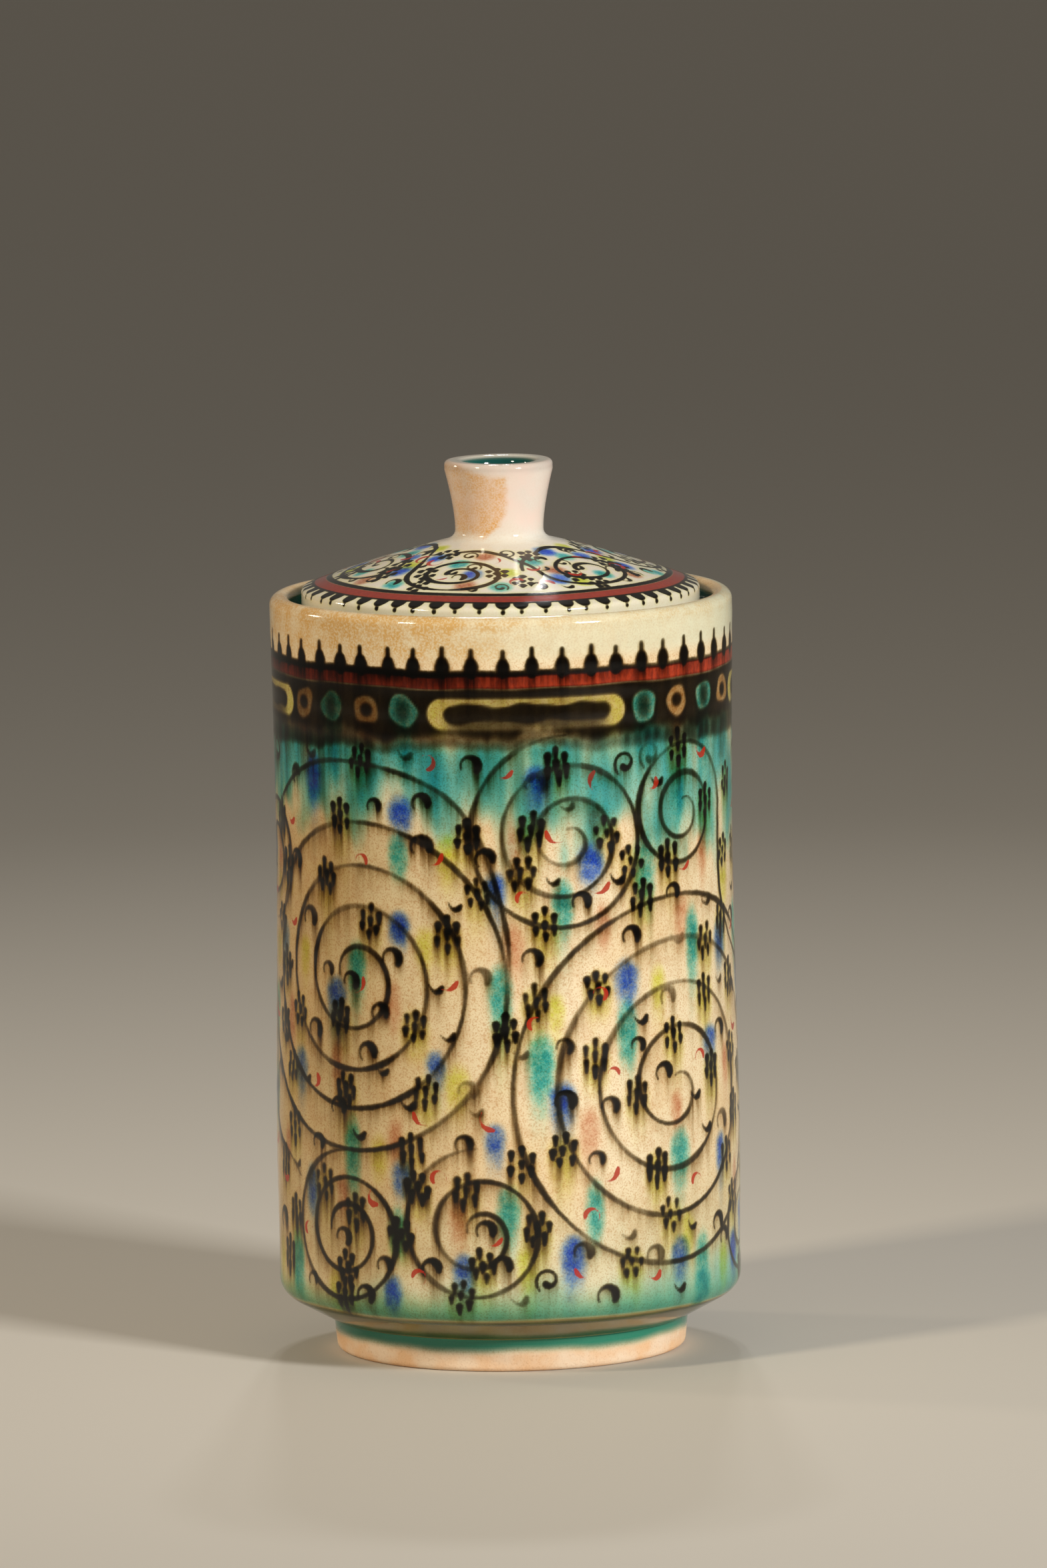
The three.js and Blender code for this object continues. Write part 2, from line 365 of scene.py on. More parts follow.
class Canvas:
    """A painted surface laid flat. Strokes are kept as distances to the nearest stroke's edge, below 0
    inside it, and soft pigments as amounts from 0 to 1."""

    def __init__(self, x0, x1, y0, y1, columns, cell, wraps):
        self.x = x0 + (x1 - x0) * np.arange(columns) / columns
        self.y = np.arange(y0, y1, cell)
        self.cell_x = (x1 - x0) / columns
        self.cell_y = cell
        self.wraps = wraps
        shape = (len(self.y), columns)
        self.edges = {name: np.full(shape, FAR) for name in STROKES}
        self.tints = {name: np.zeros(shape) for name in PIGMENTS}

    def window(self, x0, x1, y0, y1):
        """Rows, columns and their coordinates for a rectangle of the canvas."""
        first = max(0, int((y0 - self.y[0]) / self.cell_y))
        last = min(len(self.y), int((y1 - self.y[0]) / self.cell_y) + 2)
        left = math.floor((x0 - self.x[0]) / self.cell_x)
        right = math.ceil((x1 - self.x[0]) / self.cell_x)
        columns = np.arange(left, right + 1)
        if not self.wraps:
            columns = columns[(columns >= 0) & (columns < len(self.x))]
        xs = self.x[0] + columns * self.cell_x
        return slice(first, last), columns % len(self.x), xs[None, :], self.y[first:last, None]

    def stroke(self, name, points, half):
        """A brush stroke through the points; half is its half-width at each of them."""
        field = self.edges[name]
        half = np.broadcast_to(half, len(points))
        for (ax, ay), (bx, by), start, end in zip(points, points[1:], half, half[1:]):
            reach = max(start, end) + STROKE_REACH
            rows, columns, xs, ys = self.window(
                min(ax, bx) - reach, max(ax, bx) + reach, min(ay, by) - reach, max(ay, by) + reach)
            dx = bx - ax
            dy = by - ay
            share = np.clip(((xs - ax) * dx + (ys - ay) * dy) / (dx * dx + dy * dy + NO_LENGTH), 0, 1)
            away = np.hypot(xs - ax - share * dx, ys - ay - share * dy) - (start + (end - start) * share)
            field[rows, columns] = np.minimum(field[rows, columns], away)

    def dab(self, name, x, y, wide, tall, strength):
        """A soft wet touch of pigment."""
        rows, columns, xs, ys = self.window(x - 2 * wide, x + 2 * wide, y - 2 * tall, y + 2 * tall)
        away = np.hypot((xs - x) / wide, (ys - y) / tall)
        field = self.tints[name]
        field[rows, columns] = np.maximum(field[rows, columns], strength * smooth(1.35, 0.35, away))

    def run_down(self, source, length):
        """What a molten glaze carries down from the source; length may differ by column."""
        keep = np.exp(-self.cell_y / length)
        out = np.zeros_like(source)
        carried = np.zeros(source.shape[1])
        for row in range(len(source) - 1, -1, -1):
            carried = carried * keep + source[row] * (1 - keep)
            out[row] = carried
        return out

    def sampled(self, field, x, y):
        """The field at any places of the canvas."""
        column = np.clip((x - self.x[0]) / self.cell_x, 0, len(self.x) - 1.001)
        row = np.clip((y - self.y[0]) / self.cell_y, 0, len(self.y) - 1.001)
        i = row.astype(int)
        j = column.astype(int)
        up = row - i
        right = column - j
        low = field[i, j] * (1 - right) + field[i, j + 1] * right
        high = field[i + 1, j] * (1 - right) + field[i + 1, j + 1] * right
        return low * (1 - up) + high * up

    def amounts(self, shown, x, y):
        """All strokes and tints at the places of a mesh, where the painting is shown."""
        out = {}
        for fields, nothing in ((self.edges, FAR), (self.tints, 0.0)):
            for name, field in fields.items():
                out[name] = np.where(shown, self.sampled(field, x, y), nothing)
        return out


def placed(points, x, y, size, turn, flip=1):
    """A shape at its place on a canvas, in its size, turned, and mirrored where flip is -1."""
    cosine = math.cos(turn)
    sine = math.sin(turn)
    turned = np.asarray(points, float) * size * (flip, 1) @ np.array([[cosine, sine], [-sine, cosine]])
    return turned + (x, y)


# Shapes of a brush's touch, about 1 in half-width, with the brush's own half-width along them
ROSETTE = [(0, 0), (0, 1.15), (0, -1.15), (-0.85, 0.6), (-0.85, -0.55), (0.85, 0.6), (0.85, -0.55)]
ARCH = [(math.cos(a), math.sin(a)) for a in np.linspace(3.7, -0.45, 12)]
ARCH_HALF = [0.09, 0.1, 0.11, 0.13, 0.16, 0.21, 0.28, 0.37, 0.46, 0.5, 0.46, 0.34]
TICK = [(-1.0, 0.42), (-0.75, 0.05), (-0.35, -0.28), (0.1, -0.36), (0.5, -0.12), (0.72, 0.3)]
TICK_HALF = [0.06, 0.09, 0.17, 0.3, 0.4, 0.26]
COMMA = [(-1.35, 0.2), (-1.0, -0.14), (-0.5, -0.34), (0.0, -0.28), (0.42, 0.02), (0.72, 0.42)]
COMMA_HALF = [0.05, 0.07, 0.12, 0.22, 0.32, 0.2]
CURL_TURN = np.linspace(4.1, -2.2, 16)
CURL_RADIUS = np.linspace(1.25, 0.42, 16)
CURL = np.stack([CURL_RADIUS * np.cos(CURL_TURN), CURL_RADIUS * np.sin(CURL_TURN)], -1)
CURL_HALF = [0.08, *[0.12] * 9, 0.14, 0.17, 0.21, 0.27, 0.32, 0.3]
SHAPES = {
    "arch": (ARCH, np.array(ARCH_HALF)),
    "tick": (TICK, np.array(TICK_HALF)),
    "comma": (COMMA, np.array(COMMA_HALF)),
    "curl": (CURL, np.array(CURL_HALF)),
}


def rosette(canvas, dice, x, y, size, dot, tail):
    """A flower of seven dots; dot is their half-width, and tail draws them out downwards."""
    for px, py in placed(ROSETTE, x, y, size, dice.normal(0, 0.2)):
        px = px + dice.normal(0, 0.05 * size)
        py = py + dice.normal(0, 0.06 * size)
        half = dot * dice.uniform(0.85, 1.15)
        reach = tail * dice.uniform(0.7, 1.3)
        canvas.stroke("ink", [(px, py + 0.2 * reach), (px, py - 0.8 * reach)], [half, 0.45 * half])


def touch(canvas, dice, shape, x, y, size, turn=None, flip=1, name="ink", weight=1.0):
    """One touch of the brush: an arch with a heavy end, a tick, a comma or a curl."""
    points, half = SHAPES[shape]
    turn = dice.normal(0, 0.2) if turn is None else turn
    size = size * dice.uniform(0.9, 1.12)
    canvas.stroke(name, placed(points, x, y, size, turn, flip), weight * half * size)


# The painted wall. x runs round it from the front, y is height on the wall and arc length beyond it.

GIRTH = TURN * BODY_RADIUS
HALF_GIRTH = GIRTH / 2
CANVAS_LOW = -12.0
CANVAS_HIGH = 174.0
# Scrolls that wind outwards, clockwise: centre, first quarter turn (0 is the top), first radius, how much
# the radius grows in a quarter turn, and how many quarter turns
SCROLLS = [
    (-36, 88, 3, 4.5, 2.25, 16), (41, 62, 0, 3, 2.5, 17), (14, 119, 0, 2, 1.75, 12),
    (45, 123, 0, 2.5, 1.5, 9), (-39.5, 31.5, 3, 4.5, 1.5, 9), (-7, 33, 3, 2.5, 1.75, 9),
    (74, 27.5, 1, 3, 1.4, 7), (86, 112, 2, 3, 1.5, 8),
]
STEM = [
    (-66, 125), (-57, 131), (-45, 135), (-31, 135), (-19, 132), (-11, 127), (-5.5, 119), (-2, 109),
    (0.5, 97), (0.5, 86),
]
# What some of the scrolls run on into, by their place in the list
TAILS = {
    1: [(87.5, 54), (91, 49), (98, 46), (104, 42)],
    3: [(60.8, 113), (61.5, 104), (65, 96), (71, 89.5), (80, 84), (88, 78)],
}
ROSETTES = [
    (12, 135.5), (44, 137), (-33.5, 136), (66.5, 127), (54, 124), (-40, 123), (6, 121.5), (-8.5, 120.5),
    (-67.5, 120.5), (23.5, 120), (29.5, 114), (40, 113.5), (3, 112), (-45, 110), (-6, 108), (32.5, 105.5),
    (-31.5, 101), (8.5, 100.5), (-13, 98.5), (-67.5, 98), (62, 97.5), (53, 94), (20, 86.5), (6, 84),
    (52, 82), (-41, 79.5), (-21, 78), (-56, 78.5), (0, 77.5), (41, 74), (20, 71), (55, 65), (30, 63),
    (-60.5, 66), (-38.5, 63.5), (-18, 63.5), (67, 54.5), (-59, 53), (-22, 51), (12, 50.5), (3, 48),
    (35, 45.5), (-46, 42), (-9.5, 42), (-36.5, 37), (66, 35), (39, 34.5), (-59.5, 34), (6, 34),
    (-25, 31.5), (27.5, 25), (-39, 24), (-40, 17.5), (-11, 19), (-20.5, 43), (-5.5, 25.5), (-63, 110),
    (-64, 88), (-66, 75), (-65, 44), (-64, 24), (64, 112), (66, 84), (66, 68), (62, 45), (80, 126),
    (74, 112), (78, 88), (75, 62), (77, 41), (73, 18),
]
TOUCHES = {  # size and places
    "arch": (1.8, [
        (-57.5, 131), (-18.5, 127), (-31, 126), (-58, 112), (-8, 135.5), (7, 131), (-19, 117.5),
        (-4.5, 115), (41, 105.5), (17, 104.5), (29, 96.5), (5.5, 93.5), (-52, 100), (-26, 92.5),
        (-45, 89.5), (-5.5, 89), (39, 83), (13, 73.5), (59, 73), (30.5, 72.5), (37, 66), (-49.5, 74.5),
        (-33.5, 71.5), (-9, 64), (-41.5, 58.5), (-10, 53), (13, 61), (22.5, 60), (19.5, 48), (58.5, 52.5),
        (-49, 50), (68, 80), (56, 30), (60.5, 26), (16, 28), (-17.5, 24), (-41, 30), (-6, 33.5), (70, 97),
        (-37.5, 87), (-30, 81), (-70, 64), (-68, 31), (72, 63), (34, 25.5), (-1.5, 25.5), (-52, 19.5),
        (79, 105), (76, 75), (78, 49), (80, 21), (77, 132), (22, 17.5), (-30, 25), (-34, 18),
    ]),
    "tick": (1.75, [
        (-15.5, 86.5), (-12.5, 76), (-11, 104.5), (10.5, 110), (43, 95), (26, 109.5), (54, 101.5),
        (3.5, 72), (-6.5, 59.5), (52, 51.5), (41.5, 17.5), (27.5, 31), (46, 31), (-50, 137), (-22, 137),
        (14, 125.5), (37, 130), (2, 17.5), (-58, 44.5), (-53, 64), (-22.5, 61), (48, 60), (-35, 53.5),
        (60, 84), (-29, 68), (31.5, 78), (-62, 89), (-70, 83), (-65, 72), (72, 103), (80, 95), (74, 54),
    ]),
    "curl": (2.5, [
        (27.5, 135), (35, 136), (9, 22), (-70.5, 134),
    ]),
}
REDS = [
    (-60, 120.5), (-15.5, 114.5), (-34, 113), (-60, 98), (3.5, 106), (11, 120), (22, 107.5), (20, 132),
    (36, 129), (45.5, 110), (53, 135), (0.5, 133.5), (-17, 136), (-34, 86.5), (-11.5, 87), (21, 84.5),
    (6.5, 78.5), (23.5, 67), (49.5, 67.5), (-49.5, 63.5), (-20, 57.5), (-4.5, 57.5), (-15.5, 45),
    (24, 44.5), (48, 40.5), (18.5, 36), (-32, 39), (-65.5, 41), (-53, 30.5), (-3, 30.5), (-20.5, 22),
    (34.5, 21), (15.5, 23.5), (69.5, 73), (70, 94), (-73, 77), (86, 105), (75, 121), (84, 80), (79, 67),
    (88, 47), (77, 33),
]
DABS = {  # width, height, strength and places
    "cobalt": (2.5, 3.3, 1.0, [
        (7, 132), (-49, 132), (-24, 125), (20, 114), (-2, 109), (61, 93), (28, 88), (-42, 84), (-56, 67),
        (-3, 54), (58, 46), (-51, 41), (14, 27), (42, 26), (-10, 25), (-27, 19), (-16, 70), (-24, 100),
        (12, 62), (-65, 94), (54, 72), (-24, 45), (67, 24), (82, 112), (77, 84), (86, 57), (74, 30),
    ]),
    "turquoise": (2.4, 5.2, 0.9, [
        (-2, 85), (28, 76), (7, 70), (42, 48), (0, 38), (48, 95), (13, 105), (-24, 116), (33, 112),
        (50, 23), (19, 38), (-37, 51), (-36, 90), (50, 18), (-59, 23), (-25, 33), (43, 127), (-74, 60),
        (88, 76), (79, 43), (74, 95),
    ]),
    "yellow": (2.5, 3.5, 0.7, [
        (64, 106), (4, 26), (59, 22), (-18, 96), (-54, 92), (11, 82), (36, 85), (-13, 116), (-30, 49),
        (-12, 66), (-70, 106), (44, 30), (-43, 20), (84, 93), (81, 54), (86, 24),
    ]),
    "rust": (2.0, 4.0, 0.6, [
        (21, 123), (-69, 112), (22, 100), (2, 96), (-26, 83), (-61, 78), (-42, 70), (62, 66), (41, 58),
        (-26, 53), (68, 39), (-63, 49), (-40, 40), (-11, 36), (44, 100), (2, 119), (18, 55), (53, 115),
        (77, 105), (83, 40), (81, 76),
    ]),
}
LINE_HALF = 0.48
LINE_START = 7  # how far a line swells from its start, and thins out to its end
LINE_END = 14
SCROLL_STEPS = 14
CURVE_STEPS = 10
ROSETTE_BRUSH = [(2.3, 2.6), (0.68, 0.85), (1.2, 2.2)]  # size, dot and tail, from and to
FAINT_SHARE = 0.35
FRONT_LOOSE = 0.3
BACK_LOOSE = 1.9
FRIEZE_LOW = 142.2
FRIEZE_HIGH = 152.35
RED_LOW = 152.45
RED_HIGH = 155.4
TEETH = 49
TOOTH_BASE = 155.6
TOOTH_TIP = 160.9
TOOTH_RISE = np.array([0, 0.14, 0.3, 0.44, 0.54, 0.62, 0.8, 1])
TOOTH_HALF = np.array([1.0, 1.45, 1.6, 1.35, 0.85, 0.5, 0.42, 0.46])
MEDAL_MID = 147.3
MEDAL_HALF = 3.4
MEDAL_PITCH = 9.8
MEDAL_RUN = 8.5
CARTOUCHES = [(-17.0, 28.5), (69.0, 112.0), (140.0, 181.0), (218.0, 263.4)]  # from x to x
CARTOUCHE_MID = 146.85
CARTOUCHE_HALF = 3.65
CORE_HALF = 1.75
CORE_INSET = 5.6
WASH_LOW = 121  # where the turquoise below the frieze ends, and where that above the foot does
FOOT_WASH_HIGH = 18
LINE_RUN = 2.1  # how far the glaze carried the lines, the band and the dabs of colour down
BAND_RUN = 6.0
DAB_RUN = 2.5
WALL_SEED = 11
FOOT_SEED = 5
THROWING_PITCH = 5.6
GLAZE_STOP = 4.1
STRAIGHT_WALL = 60  # a height at which y on the canvas is height


def scroll(dice, first, start, step, quarters):
    """A scroll's points about its centre, from the inside out, with the waver of a hand."""
    turns = np.linspace(0, quarters, SCROLL_STEPS * quarters)
    angle = math.pi / 2 * (1 - first - turns)
    radius = start + step * turns + 0.14 * step * wave_noise(dice, turns, 4 * quarters, 8, 3, 5)
    return np.stack([radius * np.cos(angle), radius * np.sin(angle)], -1)


def paint_lines(canvas, dice, shift):
    """The stem and the scrolls."""
    paths = [catmull(STEM, CURVE_STEPS)]
    for k, (x, y, *shape) in enumerate(SCROLLS):
        path = scroll(dice, *shape) + (x, y)
        if k in TAILS:
            path = np.concatenate([path, catmull([path[-1], *TAILS[k]], CURVE_STEPS)[1:]])
        paths.append(path)
    for path in paths:
        path = path + (shift, 0)
        run = arc_lengths(path)
        weight = np.clip(1 + 0.22 * wave_noise(dice, run, 400, 60, 9), 0.7, 1.4)
        weight = weight * (0.3 + 0.7 * smooth(0, LINE_END, run[-1] - run))
        weight = weight * (0.45 + 0.55 * smooth(0, LINE_START, run))
        canvas.stroke("line", path, LINE_HALF * weight)


def paint_scrollwork(canvas, dice, shift, loose):
    """One set of scrolls, flowers and touches, shifted round the jar, with more or less loose places."""

    def drift(spot):
        return spot[0] + shift + dice.normal(0, loose), spot[1] + dice.normal(0, loose)

    paint_lines(canvas, dice, shift)
    for spot in ROSETTES:
        x, y = drift(spot)
        rosette(canvas, dice, x, y, *[dice.uniform(*span) for span in ROSETTE_BRUSH])
        canvas.dab("yellow", x, y - 1.5, 3.3, 4.6, dice.uniform(0.2, 0.5))
    for shape, (size, spots) in TOUCHES.items():
        for spot in spots:
            field = "line" if dice.uniform() < FAINT_SHARE else "ink"
            touch(canvas, dice, shape, *drift(spot), size * dice.uniform(0.88, 1.2), name=field)
    for spot in REDS:
        shape = ("comma", "comma", "tick", "arch")[dice.integers(4)]
        flip = dice.choice((-1, 1, 1))
        size, weight = (1.55, 0.7) if shape == "arch" else (2.1, 0.95)
        touch(canvas, dice, shape, *drift(spot), size, dice.normal(0, 0.6), flip, "red", weight)
    for name, (wide, tall, strength, spots) in DABS.items():
        for spot in spots:
            amount = strength * dice.uniform(0.65, 1)
            x, y = drift(spot)
            canvas.dab(name, x, y, wide * dice.uniform(0.8, 1.25), tall * dice.uniform(0.8, 1.3), amount)


def paint_teeth(canvas, dice):
    for k in range(TEETH):
        x = -HALF_GIRTH + GIRTH * (k + 0.5 + dice.uniform(-0.07, 0.07)) / TEETH
        tall = TOOTH_TIP - TOOTH_BASE + dice.uniform(-0.45, 0.45)
        lean = dice.normal(0, 0.1)
        points = [(x + lean * share, TOOTH_BASE + tall * share) for share in TOOTH_RISE]
        canvas.stroke("ink", points, TOOTH_HALF * dice.uniform(0.9, 1.12))
        root = TOOTH_BASE - dice.uniform(0.3, 1.3)
        canvas.stroke("ink", [(x, TOOTH_BASE), (x + lean, root)], [0.45, 0.1])


def across(xs, middle):
    """How far round the wall from the middle, on its shorter way."""
    return (xs - middle + HALF_GIRTH) % GIRTH - HALF_GIRTH


def add_tint(canvas, name, amount):
    canvas.tints[name] = np.maximum(canvas.tints[name], amount)


def paint_cartouche(canvas, xs, ys, start, end, ragged):
    """A long yellow ring. Returns how far it clears the black band."""
    reach = (end - start) / 2
    dx = np.abs(across(xs, (start + end) / 2))
    outer = np.hypot(np.maximum(dx - (reach - CARTOUCHE_HALF), 0), ys - CARTOUCHE_MID) - CARTOUCHE_HALF
    core = np.hypot(np.maximum(dx - (reach - CORE_INSET), 0), ys - CARTOUCHE_MID - 0.1) - CORE_HALF
    ring = smooth(0.35, -0.45, outer) * smooth(-0.45, 0.45, core - 1.5 * ragged)
    ends = smooth(reach - 9, reach - 2.5, dx)
    smeared = (1 - ends) * smooth(CARTOUCHE_MID + 1, CARTOUCHE_MID - 1.5, ys)
    add_tint(canvas, "yellow", ring * (0.36 + 0.06 * ends) * (1 - 0.6 * smeared))
    return ring * (0.92 - 0.38 * smeared - 0.06 * (1 - ends))


def medallions():
    """The pigments and places of the medallions between the cartouches."""
    stops = sorted((start % GIRTH, end % GIRTH) for start, end in CARTOUCHES)
    for gap, ((_, end), (start, _)) in enumerate(zip(stops, stops[1:] + stops[:1])):
        wide = (start - end) % GIRTH
        count = max(2, round(wide / MEDAL_PITCH))
        for k in range(count):
            yield ("rust", "turquoise")[(k + gap) % 2], end + wide * (k + 0.5) / count


def paint_medallion(canvas, dice, xs, ys, name, x, ragged):
    """A round blot of pigment. Returns how far it clears the black band."""
    x = x + dice.normal(0, 0.3)
    dx = across(xs, x)
    dy = ys - MEDAL_MID - dice.normal(0, 0.15)
    disc = smooth(0.5, -0.4, np.hypot(dx, dy) - MEDAL_HALF - 1.5 * ragged)
    if name == "rust":
        clear = 0.87 - 0.82 * smooth(1.4, 0.6, np.hypot(dx / 1.5, dy / 1.35))
        add_tint(canvas, "rust", 0.45 * disc)
        add_tint(canvas, "yellow", 0.22 * disc)
    else:
        clear = 0.9 - 0.45 * smooth(1.7, 0.2, np.hypot(dx / 1.6, dy / 2.4))
        add_tint(canvas, "turquoise", 0.75 * disc)
    canvas.dab(name, x, MEDAL_MID - MEDAL_RUN, 2.4, 6.5, dice.uniform(0.3, 0.6))
    # Towards the left front a medallion clears less of the black band and looks darker there: painted shade
    return disc * clear * (1 - 0.2 * smooth(0.1, 0.7, -math.sin(x / BODY_RADIUS)))


def paint_frieze(canvas, dice, xs, ys, streak):
    """Teeth, a red stripe, and a black band with cartouches and medallions. Returns the band's density."""
    paint_teeth(canvas, dice)
    ink = canvas.edges["ink"]
    uneven = 0.1 * wall_noise(dice, 60, 14)
    heavy = 0.5 + 0.28 * np.cos(ANGLES + 50 / BODY_RADIUS)
    np.minimum(ink, np.abs(ys - uneven - (RED_HIGH + 0.4)) - heavy, out=ink)
    stripe = np.maximum(ys - uneven - RED_HIGH - 0.3, RED_LOW + uneven - ys)
    canvas.edges["stripe"] = stripe
    # The band is dense above and thins out below, where the glaze carried it down
    fray = 0.6 * wall_noise(dice, 34, 7) + 1.2 * (streak - 1)
    film = (0.45 - 0.14 * np.cos(2 * ANGLES) + 0.08 * np.cos(ANGLES + 1.6)) * np.clip(streak, 0.7, 1.3)
    film_low = FRIEZE_LOW - 3.8 + 0.6 * fray + 0.9 * np.cos(2 * ANGLES)
    thin = film * smooth(film_low - 0.9, film_low + 1.1, ys)
    dense = (1 - film) * smooth(FRIEZE_LOW - 1.2 + fray, FRIEZE_LOW + 1.2 + fray, ys)
    density = smooth(FRIEZE_HIGH + 0.25, FRIEZE_HIGH - 0.35, ys - uneven) * (thin + dense)
    ragged = 0.17 * clouds(dice, xs, ys, 5, 5)
    for start, end in CARTOUCHES:
        density = density * (1 - paint_cartouche(canvas, xs, ys, start, end, ragged))
    for name, x in medallions():
        density = density * (1 - paint_medallion(canvas, dice, xs, ys, name, x, ragged))
    # The black line over the stripe ran down over its left part, which is also darkened as painted shade
    overrun_and_shade = 0.22 * smooth(0.35, 0.95, np.cos(ANGLES + 1))
    return np.maximum(density, overrun_and_shade * smooth(0.2, -0.2, stripe))


def carried_down(canvas, dice, xs, ys, streak, band):
    """The ink that the melting glaze carried down from the lines and from the band."""
    drawn = smooth(0.3, -0.5, canvas.edges["ink"])
    source = np.maximum(drawn, 0.6 * smooth(0.3, -0.4, canvas.edges["line"]))
    run = blurred(canvas.run_down(source, LINE_RUN * streak), (1,))
    trail = canvas.run_down(band, BAND_RUN * streak**2)
    trail = trail * (0.5 - 0.12 * np.cos(2 * ANGLES) + 0.25 * np.cos(ANGLES + 1.5))
    cloud = 0.35 * wall_noise(dice, 70, 25)
    cloud = 1 + cloud * np.sin(ys / 14 + 2 * wall_noise(dice, 90, 40))
    run = np.clip(1.6 * np.clip(cloud + 0.5 * np.cos(ANGLES + 1), 0.6, 2.2) * run, 0, 1.3)
    run = run * (0.55 + 0.45 * smooth(15, 30, ys))
    trail = trail * smooth(FRIEZE_LOW + 1.5, FRIEZE_LOW - 2, ys)
    return np.maximum(run, trail * np.clip(1 + 0.4 * clouds(dice, xs, ys, 3, 30), 0.3, 1.8))


def paint_washes(canvas, dice, xs, ys, streak):
    """Turquoise below the frieze and above the foot, a milky rim and foot, and a warm brownish tinge that
    darkens the left of the wall, partly staining and partly painted shade.
    """
    reach = WASH_LOW + 6.5 * np.cos(ANGLES + 1.2) - 3.5 * smooth(-0.75, -1, np.sin(ANGLES))
    reach = reach + 2.2 * wall_noise(dice, 34, 12) - 3 * (streak - 1)
    patch = 0.68 + 0.22 * clouds(dice, xs, ys, 10, 18) + 0.07 * clouds(dice, xs, ys, 2.5, 40)
    reach = reach + 1.5 * clouds(dice, xs, ys, 6, 12)
    top = FRIEZE_LOW + 2 - 2.6 * smooth(0.3, 1, np.cos(ANGLES + 0.5))
    wash = smooth(reach - 7, reach + 8, ys) * smooth(top, top - 4, ys)
    # Stronger towards the left and weaker to the right: turquoise wash, partly a painted shade
    wash = wash * np.clip(patch, 0.1, 1.15) * (1 - 0.28 * np.sin(ANGLES))
    low = FOOT_WASH_HIGH + 2 * wall_noise(dice, 60, 15) + 2.5 * np.sin(ANGLES)
    foot_wash = (0.32 + 0.04 * np.sin(ANGLES)) * smooth(low + 6, low - 6, ys) + 0.16 * smooth(18.5, 13.5, ys)
    foot_wash = foot_wash + (0.035 + 0.025 * np.sin(ANGLES)) * smooth(48, 22, ys)
    pale = 0.5 + 0.5 * np.sin(ANGLES - 0.2)
    green_rim = 0.04 * pale * smooth(157, 161, ys)
    canvas.tints["wash"] = np.maximum(np.maximum(wash, foot_wash), green_rim)
    milky_rim = 0.1 * pale + (0.36 + 0.24 * pale) * smooth(157, 160, ys)
    canvas.tints["milk"] = np.maximum((0.05 + 0.25 * pale) * smooth(38, 15, ys), milky_rim)
    # A warm tinge over the wall's left side: partly staining, partly painted shade
    left_stain_and_shade = np.maximum(smooth(0.25, -0.95, np.sin(ANGLES)), 0.2 * smooth(0.2, 0.9, np.sin(ANGLES)))
    canvas.tints["left_stain_and_shade"] = left_stain_and_shade * smooth(134, 114, ys) * smooth(14, 30, ys)


def paint_wall():
    dice = np.random.default_rng(WALL_SEED)
    canvas = Canvas(-HALF_GIRTH, HALF_GIRTH, CANVAS_LOW, CANVAS_HIGH, COLUMNS, PAINTED_STEP, True)
    xs, ys = np.meshgrid(canvas.x, canvas.y)
    streak = 1 + 0.16 * wall_noise(dice, 8, 2.2, 12)
    streak = np.clip(streak * (1 + 0.25 * wall_noise(dice, 60, 20)), 0.4, 1.8)
    paint_scrollwork(canvas, dice, 0, FRONT_LOOSE)
    paint_scrollwork(canvas, dice, HALF_GIRTH, BACK_LOOSE)
    band = paint_frieze(canvas, dice, xs, ys, streak)
    ink_run = carried_down(canvas, dice, xs, ys, streak, band)
    for name in PIGMENTS:
        field = canvas.tints[name]
        field = np.maximum(field, canvas.run_down(field, DAB_RUN * streak))
        canvas.tints[name] = blurred(np.clip(field, 0, 1))
    paint_washes(canvas, dice, xs, ys, streak)
    canvas.tints.update(band=band, ink_run=ink_run)
    return canvas


